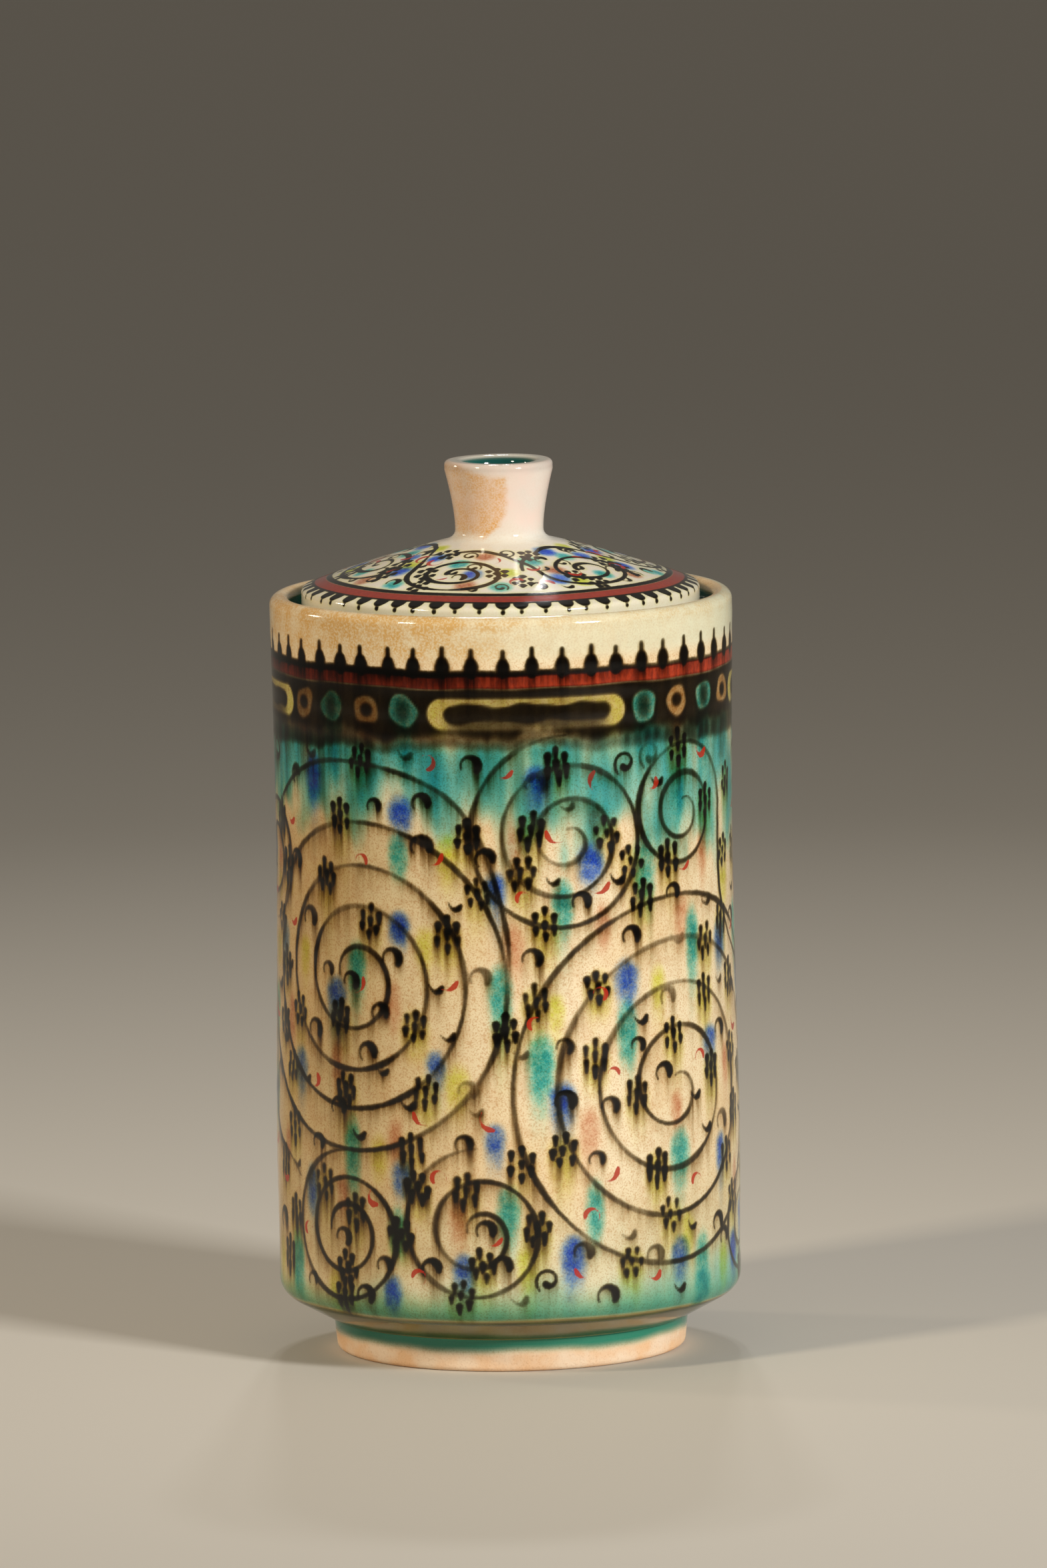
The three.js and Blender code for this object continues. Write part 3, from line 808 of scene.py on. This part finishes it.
def make_jar():
    points, zones = jar_profile()
    run = arc_lengths(points)[:, None]
    height = points[:, 1:]

    def sway(radius, height):
        rise = smooth(10, 40, height)
        wobble = 0.05 * np.sin(2 * ANGLES + 0.7) + 0.04 * np.sin(3 * ANGLES + height / 40)
        rings = 0.02 * np.sin(height * TURN / THROWING_PITCH + 1.5 * np.sin(ANGLES))
        near_rim = smooth(150, 168, height)
        lift = 0.12 * np.sin(2 * ANGLES + 2.1) * near_rim
        return radius + rise * (wobble + rings - 0.08), height + lift - 0.12 * near_rim

    piece = turned_mesh("jar", points, sway)
    canvas = paint_wall()
    dice = np.random.default_rng(FOOT_SEED)
    outer = zones == "outer"
    inner = zones == "inner"
    wall = np.argmax(outer & (height > STRAIGHT_WALL))
    amounts = canvas.amounts(outer, canvas.x, run - run[wall] + height[wall])
    # The glaze stops above the bottom of the foot ring, with a pool of green at the top of the ring
    stop = GLAZE_STOP + 0.2 * wall_noise(dice, 90, 12)
    foot = outer & (height < FOOT_HEIGHT + 0.1)
    amounts["bare"] = np.where(foot, smooth(stop + 0.9, stop - 0.8, height), zones == "under")
    amounts["pool"] = np.where(foot, 0.97 * smooth(stop - 0.8, stop + 1.9, height), 0.0)
    # Along the edge over the turned slope the glaze is thin. The slope below it is olive, a painted shade
    # and painted reflection of a wooden table, and the wall above it darkens down towards it and towards the
    # left, a painted shade
    arris = UNDERCUT_TOP - 0.3 + 0.12 * wall_noise(dice, 90, 15)
    slope = smooth(FOOT_HEIGHT - 0.2, FOOT_HEIGHT + 0.2, height) * smooth(arris + 0.3, arris - 0.3, height)
    shade = (0.18 - 0.1 * np.sin(ANGLES)) * smooth(21, 13.5, height) * (height > FOOT_HEIGHT)
    amounts["slope"] = np.where(outer, np.maximum(slope, shade), 0.0)
    thin = 0.6 * np.exp(-((height - arris) / 0.4) ** 2)
    # The second tan line, along the foot's step, is a painted highlight
    thin = thin + 0.45 * np.exp(-((height - FOOT_HEIGHT - 0.25) / 0.18) ** 2)
    amounts["arris"] = np.where(outer, thin, 0.0)
    amounts["wash"] = amounts["wash"] * smooth(arris - 0.2, arris + 0.6, height)
    # The rim is stained, most at its left front, and on its inner face the same ochre is a painted shade.
    # The lining starts just inside the rim; its dark teal there is partly painted shade
    stain_and_shade = 0.16 + 0.8 * smooth(0.5, 0.95, np.cos(ANGLES + 40 / BODY_RADIUS))
    stain_and_shade = (stain_and_shade + 0.3 * smooth(163.5, 167, height)) * smooth(155, 161, height)
    amounts["ochre"] = np.where(outer | inner, stain_and_shade, 0.0)
    past = run - run[np.argmax(inner)]
    lip = 2.0 + 0.35 * wall_noise(dice, 90, 15)
    amounts["inside"] = np.where(inner, smooth(lip - 1.3, lip + 1.6, past), 0.0)
    store(piece, amounts)
    return piece


# The painted lid. The canvas is its plan, with arc length in place of radius, and the front at the bottom.

# Angles are in degrees, 0 at the front. The set goes three times round the lid.
LID_SETS = 3
LID_CURL = (3, 2.5, 1.15, 8)  # as in SCROLLS, without the centre
LID_SQUASH = 0.74
LID_SCROLLS = [  # centre, and the stem from the scroll's outer end
    ((-19.5, 27.8), [(-47, 23.5), (-53, 19), (-61, 16.2), (-70, 15)]),
    ((43.5, 27.3), [(15.5, 23.5), (9, 20.5), (1, 17.8), (-10, 16), (-22, 15.8), (-34, 17)]),
]
LID_STEMS = [
    [(27, 17), (36, 15.2), (46, 14.8), (53, 15.4)],
    [(19, 19), (14, 20.8), (11.5, 23.5), (11, 26)],
]
LID_ROSETTES = [
    (-37.5, 18.2), (-34.5, 28.4), (-1.5, 27.5), (-31.5, 34.4), (20, 18.4), (62, 25.5), (33, 30.2),
    (39, 34.4), (9, 31.5), (-55, 30),
]
LID_TOUCHES = {  # size and places
    "curl": (1.6, [
        (4.5, 16.6), (-21, 18.4), (-14, 24.2), (36, 23.4), (0, 34), (63, 33.4),
    ]),
    "arch": (1.35, [
        (14, 33.8), (57, 29.2), (-18, 29.4), (-57, 33.5), (56, 17.4), (-62, 19.4), (-45, 33.5), (25, 21),
    ]),
    "tick": (1.35, [
        (-44, 25), (22.5, 25.8), (-22.5, 27.6), (40.5, 26.8), (25, 35), (53, 35), (-10, 35.4), (70, 19),
    ]),
}
LID_REDS = [
    (-25.5, 30.2), (-1, 20.6), (7, 31.8), (18, 33.4), (17, 24.6), (-38.5, 22.6), (52, 21.9), (35, 28.4),
    (-56, 28.6), (70, 22),
]
LID_DABS = {
    "cobalt": [(-42, 20.5), (36, 16.8), (58, 21.3), (68, 29), (24.5, 31), (-12.5, 28)],
    "turquoise": [(-23, 22.8), (0, 34), (-42, 34.4), (44, 20.4), (17.5, 21.6), (47, 31), (75, 34)],
    "yellow": [(4, 27), (33, 33), (63, 15.8), (70, 25)],
    "rust": [(-10, 18.6), (-13, 33.4), (27, 26.8), (61, 33.4)],
}
LID_LINE_HALF = 0.5
LID_STEM_STEPS = 8
LID_ROSETTE = (1.95, 0.86, 0.45)
LID_RED_SIZE = 1.6
LID_RED_WEIGHT = 0.7
LID_FRONT_LOOSE = 0.1
LID_BACK_LOOSE = 0.6
RING_INNER = 36.9
RING_RED = 38.15
RING_OUTER = 41.1
RIM_LINE_HALF = 0.28
DROPS = 56
DROP_RADII = (41.3, 41.8, 42.3)
DROP_TIP = 42.75
DROP_HALF = [1.4, 1.65, 1.55, 0.95]
LID_REACH = 50.0
LID_CELL = 0.25
LID_SEED = 23


def polar(radius, degrees):
    return radius * np.sin(np.radians(degrees)), -radius * np.cos(np.radians(degrees))


def paint_lid_set(canvas, dice, first, loose):
    """One set of scrolls, flowers and touches; first is where it starts, in degrees."""

    def spot(place):
        radius = place[1] + dice.normal(0, 0.6 * loose)
        return polar(radius, place[0] + first + dice.normal(0, 1.5 * loose))

    paths = [catmull(stem, LID_STEM_STEPS) for stem in LID_STEMS]
    for (degrees, middle), stem in LID_SCROLLS:
        curl = scroll(dice, *LID_CURL)
        curl = np.stack([degrees + np.degrees(curl[:, 0] / middle), middle - LID_SQUASH * curl[:, 1]], -1)
        paths.append(np.concatenate([curl, catmull([curl[-1], *stem], LID_STEM_STEPS)[1:]]))
    for path in paths:
        path = np.stack(polar(path[:, 1], path[:, 0] + first), -1)
        wander = wave_noise(dice, arc_lengths(path), 200, 30, 6)
        canvas.stroke("ink", path, LID_LINE_HALF * (1 + 0.2 * wander))
    for place in LID_ROSETTES:
        rosette(canvas, dice, *spot(place), *LID_ROSETTE)
    for shape, (size, places) in LID_TOUCHES.items():
        flip = -1 if shape == "curl" else 1
        for place in places:
            turn = math.radians(place[0] + first) + dice.normal(0, 0.5)
            touch(canvas, dice, shape, *spot(place), size, turn, flip)
    for place in LID_REDS:
        shape = ("comma", "arch")[dice.integers(2)]
        x, y = spot(place)
        touch(canvas, dice, shape, x, y, LID_RED_SIZE, dice.uniform(0, TURN), 1, "red", LID_RED_WEIGHT)
    for name, places in LID_DABS.items():
        for place in places:
            wide = dice.uniform(1.9, 2.6)
            canvas.dab(name, *spot(place), wide, wide * dice.uniform(0.8, 1.1), dice.uniform(0.75, 0.95))


def paint_lid_edge(canvas, dice, xs, ys):
    """A red ring between black ones, and drops outside them."""
    ink = canvas.edges["ink"]
    red = canvas.edges["red"]
    radius = np.hypot(xs, ys)
    around = np.arctan2(xs, -ys)
    uneven = 0.12 * np.sin(3 * around + 1) + 0.08 * np.sin(7 * around)
    inside = smooth(RING_INNER + 0.4, RING_INNER - 0.6, radius)
    for name in PIGMENTS:
        canvas.tints[name] = blurred(canvas.tints[name] * inside)
    np.maximum(ink, radius - RING_INNER, out=ink)
    np.maximum(red, radius - RING_INNER, out=red)
    dark = np.maximum(RING_INNER + uneven - radius, radius - uneven - RING_RED)
    rim_line = np.abs(radius - uneven - RING_OUTER) - RIM_LINE_HALF
    np.minimum(ink, np.minimum(dark, rim_line), out=ink)
    canvas.edges["stripe"] = np.maximum(RING_RED + uneven - radius, radius - uneven - RING_OUTER)
    canvas.edges["drops"] = np.full_like(ink, FAR)
    for k in range(DROPS):
        angle = 360 * (k + dice.uniform(-0.1, 0.1)) / DROPS
        tip = DROP_TIP + dice.uniform(-0.15, 0.15)
        canvas.stroke("drops", [polar(reach, angle) for reach in (*DROP_RADII, tip)], DROP_HALF)
        dot = [polar(tip + 1.65, angle), polar(tip + 1.75, angle)]
        canvas.stroke("drops", dot, dice.uniform(0.4, 0.5))
    np.minimum(ink, np.maximum(canvas.edges.pop("drops"), RING_OUTER - radius), out=ink)
    canvas.tints["wash"] = np.maximum(0.12 * smooth(1.1, 0.1, ink), 0.05 * smooth(42, 45, radius))


def paint_lid():
    dice = np.random.default_rng(LID_SEED)
    columns = round(2 * LID_REACH / LID_CELL)
    canvas = Canvas(-LID_REACH, LID_REACH, -LID_REACH, LID_REACH, columns, LID_CELL, False)
    for k in range(LID_SETS):
        paint_lid_set(canvas, dice, 360 / LID_SETS * k, LID_BACK_LOOSE if k else LID_FRONT_LOOSE)
    paint_lid_edge(canvas, dice, *np.meshgrid(canvas.x, canvas.y))
    return canvas


def make_lid():
    points, zones = lid_profile()
    run = arc_lengths(points)[:, None]

    def sway(radius, height):
        high = smooth(170, 176, height)
        wobble = 0.03 * np.sin(2 * ANGLES + 2.2) + high * 0.05 * np.sin(3 * ANGLES + 0.6)
        sag = 0.04 * high * (1 + np.sin(2 * ANGLES))
        return radius + (wobble - 0.05) * smooth(0.5, 6, radius), height - sag

    piece = turned_mesh("lid_with_knob", points, sway)
    canvas = paint_lid()
    # Plan radius: the dome's own radius, and arc length down over the edge
    plan = points[:, :1].copy()
    dome = np.argmax(zones == "dome")
    edge = zones == "edge"
    plan[edge] = points[dome, 0] + run[dome] - run[edge]
    shown = np.isin(zones, ("edge", "dome"))
    amounts = canvas.amounts(shown, plan * np.sin(ANGLES), -plan * np.cos(ANGLES))
    knob = zones == "knob"
    hollow = zones == "hollow"
    rise = points[:, 1:] - KNOB_BASE
    # An ochre blush on the knob's left front, with a sharper edge on its right and two stronger bands
    right = np.radians(np.interp(rise, [0.5, 3.5, 7, 14], [-18, 0, 10, 9])) + 0.015 * np.sin(rise * 2.3)
    bands = 0.7 + 0.25 * np.exp(-((ANGLES + 0.37) / 0.14) ** 2)
    bands = bands + 0.25 * np.exp(-((ANGLES - right + 0.14) / 0.13) ** 2)
    blush = smooth(right + 0.06, right - 0.1, ANGLES) * smooth(-2.8, -1.0, ANGLES) * bands
    burnt_top = 14.6 + 2.4 * smooth(-0.1, -1.0, ANGLES)
    blush = blush * smooth(-0.6, 2.6, rise) * smooth(burnt_top + 0.8, burnt_top - 0.8, rise)
    amounts["blush"] = np.where(knob, blush, 0.0)
    amounts["pink"] = np.where(knob, smooth(0.2, 4.0, rise), 0.0)
    # The knob's lip is greyed: a painted shade at the top of the knob
    amounts["lip"] = np.where(knob | hollow, smooth(14.6, 16.2, rise), 0.0)
    amounts["inside"] = np.where(hollow, smooth(1.9, 3.1, run - run[np.argmax(hollow)]), 0.0)
    amounts["bare"] = zones == "seat"
    store(piece, amounts)
    return piece


# Materials


def srgb(*screen):
    """A colour given in 0-255 screen values, as the linear values that Blender uses."""
    linear = [c / 255 / 12.92 if c <= 10 else ((c / 255 + 0.055) / 1.055) ** 2.4 for c in screen]
    return (*linear, 1.0)


class Graph:
    """A material's nodes, with short calls for the ones used here."""

    def __init__(self, name):
        self.material = bpy.data.materials.new(name)
        self.material.use_nodes = True
        self.tree = self.material.node_tree
        self.shader = self.tree.nodes["Principled BSDF"]

    def node(self, kind, inputs=(), output=0, **settings):
        """A new node's output. Its inputs are sockets, plain values, or names of amounts on the mesh."""
        node = self.tree.nodes.new(kind)
        for key, value in settings.items():
            setattr(node, key, value)
        for key, value in dict(inputs).items():
            if isinstance(value, str):
                value = self.node("ShaderNodeAttribute", output="Fac", attribute_name=value)
            if isinstance(value, bpy.types.NodeSocket):
                self.tree.links.new(value, node.inputs[key])
            else:
                node.inputs[key].default_value = value
        return node.outputs[output]

    def times(self, value, *others):
        for other in others:
            value = self.node("ShaderNodeMath", {0: value, 1: other}, operation="MULTIPLY")
        return value

    def plus(self, value, other):
        return self.node("ShaderNodeMath", {0: value, 1: other}, operation="ADD")

    def ramp(self, value, low, high, to_low=0.0, to_high=1.0):
        inputs = {0: value, 1: low, 2: high, 3: to_low, 4: to_high}
        return self.node("ShaderNodeMapRange", inputs, interpolation_type="SMOOTHSTEP")

    def mix(self, factor, a, b, blend="MIX"):
        return self.node("ShaderNodeMix", {0: factor, 6: a, 7: b}, 2, data_type="RGBA", blend_type=blend)

    def absorb(self, colour, tint, amount):
        """The colour seen through an amount of pigment; an amount of 1 lets the tint through."""
        layer = self.node("ShaderNodeGamma", {"Color": tint, "Gamma": amount})
        return self.mix(1.0, colour, layer, "MULTIPLY")

    def noise(self, scale, detail, stretch=None):
        place = self.node("ShaderNodeTexCoord", output="Object")
        if stretch:
            place = self.node("ShaderNodeMapping", {"Vector": place, "Scale": stretch})
        return self.node("ShaderNodeTexNoise", {"Vector": place, "Scale": scale, "Detail": detail}, "Fac")

    def patches(self, scale, detail, low, high, to_low=0.0, to_high=1.0, stretch=None):
        """Noise with its values between low and high spread over another range."""
        return self.ramp(self.noise(scale, detail, stretch), low, high, to_low, to_high)

    def link(self, value, name):
        self.tree.links.new(value, self.shader.inputs[name])


# What each pigment lets through, as linear red, green and blue
INK = (0.006, 0.0042, 0.0018, 1.0)
SMEAR = (0.2, 0.14, 0.07, 1.0)
TURQUOISE = (0.028, 0.41, 0.56, 1.0)
WASH = (0.03, 0.39, 0.62, 1.0)
COBALT = (0.02, 0.085, 0.9, 1.0)
YELLOW = (0.64, 0.76, 0.08, 1.0)
RUST = (0.52, 0.19, 0.12, 1.0)
# Not a pigment: the olive of the painted shade and painted reflection on the slope above the foot
SLOPE_SHADE_OLIVE = (0.1, 0.15, 0.024, 1.0)
# Not only a pigment: the warm tinge on the wall's left is partly painted shade
AMBER_STAIN_AND_SHADE = (0.7, 0.63, 0.47, 1.0)
# Not a pigment: the grey of the painted shade on the knob's lip
LIP_SHADE = (0.78, 0.78, 0.78, 1.0)
PIGMENT_TINTS = {"rust": RUST, "yellow": YELLOW, "turquoise": TURQUOISE, "cobalt": COBALT}
# Opaque colours
WALL_CREAM = srgb(238, 221, 187)
WALL_WARM = srgb(232, 206, 164)
LID_WHITE = srgb(227, 223, 211)
LID_WARM = srgb(222, 214, 198)
RED = srgb(168, 36, 14)
RED_DULL = srgb(118, 34, 20)
STRIPE = srgb(132, 22, 6)
STRIPE_BRIGHT = srgb(172, 46, 16)
STAIN = srgb(190, 134, 72)
OCHRE = srgb(212, 167, 102)
MILK = srgb(231, 225, 197)
CLAY = srgb(243, 217, 188)
CLAY_WARM = srgb(238, 194, 150)
TAN = srgb(196, 164, 116)
POOL_GREEN = srgb(12, 126, 102)
TEAL = srgb(14, 66, 61)
TEAL_LIGHT = srgb(28, 94, 84)
ROSE = srgb(238, 214, 200)
BLUSH = srgb(220, 164, 92)
FLOOR_GREY = srgb(200, 194, 184)
# How soft the ink's edges are, in millimetres
WALL_SOFTNESS = 0.3
LID_SOFTNESS = 0.16
CLAY_ROUGHNESS = 0.78
FLOOR_ROUGHNESS = 0.7
FLOOR_SPECULAR = 0.2
GLAZE_IOR = 1.45
BUMP_STRENGTH = 0.22
BUMP_DISTANCE = 0.0004


def ground_colour(graph, ground, warm, mottled):
    """Cream with warm clouds, stains and fine specks; mottled says how strong the stains are."""
    colour = graph.mix(graph.patches(34, 4, 0.36, 0.66), ground, warm)
    colour = graph.mix(graph.patches(330, 3, 0.45, 0.75, 0.0, 0.26 * mottled), colour, STAIN)
    return graph.mix(graph.patches(2600, 2, 0.45, 0.7, 0.0, 0.55 * mottled), colour, STAIN)


def wall_ground(graph, streaks):
    """The wall under its painting: a stained rim, washes, and olive painted shade and reflection on the
    slope above the foot.
    """
    colour = ground_colour(graph, WALL_CREAM, WALL_WARM, 1.0)
    spotted = graph.patches(2000, 2, 0.36, 0.64, 0.4, 1.2)
    stained = graph.times("ochre", graph.patches(240, 4, 0.28, 0.68, 0.3, 1.0), spotted)
    colour = graph.mix("milk", colour, MILK)
    colour = graph.mix(stained, colour, OCHRE)
    colour = graph.absorb(colour, AMBER_STAIN_AND_SHADE, "left_stain_and_shade")
    wash = graph.times("wash", graph.ramp(streaks, 0.3, 0.7, 0.86, 1.12))
    colour = graph.absorb(colour, WASH, wash)
    # Painted shade and painted reflection on the slope, and painted shade on the wall above it
    slope = graph.times("slope", graph.patches(130, 3, 0.3, 0.7, 1.0, 1.3))
    colour = graph.absorb(colour, SLOPE_SHADE_OLIVE, slope)
    # Tan lines: thin glaze along the edge over the slope, and a painted highlight along the foot's step
    return graph.mix(graph.times("arris", 0.75), colour, TAN)


def lid_ground(graph):
    """The lid under its painting, with a rosy knob that has a burnt blush, and a greyed lip that is a
    painted shade.
    """
    colour = ground_colour(graph, LID_WHITE, LID_WARM, 0.2)
    colour = graph.absorb(colour, YELLOW, "wash")
    rosy = graph.times("pink", graph.patches(160, 4, 0.3, 0.7, 0.45, 1.0))
    colour = graph.mix(rosy, colour, ROSE)
    burnt = graph.times("blush", graph.patches(2600, 3, 0.34, 0.66, 0.5, 1.05))
    burnt = graph.times(burnt, graph.patches(330, 4, 0.3, 0.66, 0.6, 1.05))
    colour = graph.mix(burnt, colour, BLUSH)
    return graph.absorb(colour, LIP_SHADE, "lip")


def carried_ink(graph, colour, streaks, ragged):
    """The wall's smeared ink, its black band and its fainter lines, and the green pool on the foot."""
    feather = graph.patches(70, 2, 0.34, 0.66, 0.55, 1.45, (13.0, 13.0, 0.7))
    carried = graph.times("ink_run", graph.ramp(streaks, 0.28, 0.72, 0.85, 1.15), feather)
    colour = graph.absorb(colour, SMEAR, carried)
    band = graph.times("band", graph.ramp(streaks, 0.3, 0.7, 0.8, 1.0))
    colour = graph.absorb(colour, INK, band)
    faint = graph.patches(42, 3, 0.38, 0.62, 0.16, 0.6)
    drawn = graph.ramp(graph.plus("line", ragged), 0.34, -0.36)
    veiled = graph.ramp("wash", 0.2, 0.9, 1.0, 0.6)
    colour = graph.absorb(colour, INK, graph.times(drawn, faint, veiled))
    return graph.mix("pool", colour, POOL_GREEN)


def glaze(name, softness, painted_wall):
    """Pigments under a clear glossy glaze, from the amounts on the mesh."""
    graph = Graph(name)
    streaks = graph.noise(70, 3, (4.0, 4.0, 0.5))
    colour = wall_ground(graph, streaks) if painted_wall else lid_ground(graph)
    grain = graph.patches(2000, 2, 0.3, 0.7, 0.78, 1.2)
    wet = graph.times(graph.patches(420, 3, 0.3, 0.66, 0.6, 1.15), grain)
    for pigment, tint in PIGMENT_TINTS.items():
        colour = graph.absorb(colour, tint, graph.times(pigment, wet))
    bright = graph.patches(420, 3, 0.35, 0.65, 0.0, 1.0 if painted_wall else 0.25, (2.5, 2.5, 1))
    fired = graph.mix(bright, STRIPE, STRIPE_BRIGHT)
    colour = graph.mix(graph.ramp("stripe", 0.25, -0.25, 0.0, 0.96), colour, fired)
    ragged = graph.plus(graph.times(graph.noise(900, 2), softness), -softness / 2)
    if painted_wall:
        colour = carried_ink(graph, colour, streaks, ragged)
    edge = graph.plus("ink", ragged)
    uneven = graph.patches(60, 2, 0.36, 0.6, 0.4 if painted_wall else 0.6, 0.7)
    thin = graph.times(graph.ramp(edge, softness, -softness), uneven)
    black = graph.plus(thin, graph.ramp(edge, -0.4 * softness, -2.0 * softness, 0.0, 0.4))
    colour = graph.absorb(colour, INK, black)
    red = graph.mix(graph.ramp("wash", 0.2, 0.8), RED, RED_DULL)
    colour = graph.mix(graph.ramp("red", 0.1, -0.14, 0.0, 0.92), colour, red)
    lining = graph.mix(graph.patches(55, 4, 0.35, 0.68, stretch=(1, 1, 0.5)), TEAL, TEAL_LIGHT)
    colour = graph.mix("inside", colour, lining)
    clay = graph.mix(graph.patches(110, 4, 0.38, 0.64), CLAY, CLAY_WARM)
    clay = graph.mix(graph.patches(2300, 3, 0.5, 0.72, 0.0, 0.25), clay, STAIN)
    graph.link(graph.mix("bare", colour, clay), "Base Color")
    gloss = graph.patches(120, 3, 0.3, 0.7, 0.06, 0.12)
    graph.link(graph.node("ShaderNodeMix", {0: "bare", 2: gloss, 3: CLAY_ROUGHNESS}), "Roughness")
    relief = graph.plus(graph.times(graph.noise(260, 2), 0.25), graph.times(black, 0.06))
    relief = graph.plus(relief, graph.times("bare", graph.noise(1400, 3), 0.8))
    bump = {"Strength": BUMP_STRENGTH, "Distance": BUMP_DISTANCE, "Height": relief}
    graph.link(graph.node("ShaderNodeBump", bump), "Normal")
    graph.shader.inputs["IOR"].default_value = GLAZE_IOR
    return graph.material


jar = make_jar()
jar.data.materials.append(glaze("painted_glaze", WALL_SOFTNESS, True))
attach(jar, "jar")
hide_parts("jar_body")

lid = make_lid()
lid.data.materials.append(glaze("lid_glaze", LID_SOFTNESS, False))
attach(lid, "lid")
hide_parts("lid", "lid_knob")


# Floor, light and camera

FLOOR_REACH = 9.0
LAMP_AIM = Vector((0, 0, 0.1))
LAMP_SPREAD = math.radians(60)
WORLD_COLOUR = (1.0, 0.93, 0.82, 1.0)
WORLD_STRENGTH = 0.16
IMAGE_HEIGHT = 2349
PIXELS_PER_MM = 6.79
SENSOR = 36.0
CAMERA_DISTANCE = 3500.0
CAMERA_RANGE = 30.0
CAMERA_ELEVATION = math.radians(8.0)
CAMERA_ROLL = math.radians(-0.855)
AIM_HEIGHT = 100.0
AIM_RIGHT = 27.7 / PIXELS_PER_MM
AIM_UP = 167.5 / PIXELS_PER_MM

floor_mesh = bpy.data.meshes.new("floor")
corners = [(x * FLOOR_REACH, y * FLOOR_REACH, 0.0) for x, y in ((-1, -1), (1, -1), (1, 1), (-1, 1))]
floor_mesh.from_pydata(corners, [], [(0, 1, 2, 3)])
floor = bpy.data.objects.new("floor", floor_mesh)
bpy.context.scene.collection.objects.link(floor)
plain = Graph("floor")
plain.shader.inputs["Base Color"].default_value = FLOOR_GREY
plain.shader.inputs["Roughness"].default_value = FLOOR_ROUGHNESS
plain.shader.inputs["Specular IOR Level"].default_value = FLOOR_SPECULAR
floor_mesh.materials.append(plain.material)


def lamp(name, azimuth, elevation, distance, size, power, colour=(1.0, 1.0, 1.0)):
    """A square lamp aimed at the jar. Azimuth 0 is the camera's side and grows to the right."""
    light = bpy.data.lights.new(name, "AREA")
    light.size = size
    light.energy = power
    light.color = colour
    light.spread = LAMP_SPREAD
    around = math.radians(azimuth)
    rise = math.radians(elevation)
    level = math.cos(rise)
    away = distance * Vector((level * math.sin(around), -level * math.cos(around), math.sin(rise)))
    stand = bpy.data.objects.new(name, light)
    stand.location = LAMP_AIM + away
    stand.rotation_euler = (-away).to_track_quat("-Z", "Y").to_euler()
    bpy.context.scene.collection.objects.link(stand)


lamp("key", 45, 23, 1.7, 0.30, 2.95, (1.0, 0.985, 0.95))
lamp("fill", -52, 34, 1.7, 0.20, 1.28, (1.0, 0.87, 0.67))
lamp("edge", -109, 20, 1.6, 0.18, 0.4, (1.0, 0.88, 0.7))
lamp("back", 176, 43, 1.7, 0.08, 0.22)
lamp("back_left", -178, 43, 1.7, 0.08, 0.22)

world = bpy.data.worlds.new("studio")
world.use_nodes = True
world.node_tree.nodes["Background"].inputs["Color"].default_value = WORLD_COLOUR
world.node_tree.nodes["Background"].inputs["Strength"].default_value = WORLD_STRENGTH
bpy.context.scene.world = world

camera_data = bpy.data.cameras.new("camera")
camera_data.sensor_width = SENSOR
camera_data.lens = PIXELS_PER_MM * CAMERA_DISTANCE * SENSOR / IMAGE_HEIGHT
camera_data.clip_end = CAMERA_RANGE
camera = bpy.data.objects.new("camera", camera_data)
bpy.context.scene.collection.objects.link(camera)
bpy.context.scene.camera = camera
sight = Vector((0, math.cos(CAMERA_ELEVATION), -math.sin(CAMERA_ELEVATION)))
aim = Vector((0, 0, AIM_HEIGHT))
place = aim - CAMERA_DISTANCE * sight
# The aim is off the picture's middle, and the camera is rolled a little
level = Vector((1, 0, 0))
upright = level.cross(sight)
right = level * math.cos(CAMERA_ROLL) + upright * math.sin(CAMERA_ROLL)
up = upright * math.cos(CAMERA_ROLL) - level * math.sin(CAMERA_ROLL)
sight = (aim + right * AIM_RIGHT + up * AIM_UP - place).normalized()
right = (right - sight * right.dot(sight)).normalized()
turn = Matrix((right, right.cross(sight), -sight)).transposed()
camera.matrix_world = Matrix.Translation(place * MM) @ turn.to_4x4()

bpy.context.scene.view_settings.view_transform = "Standard"
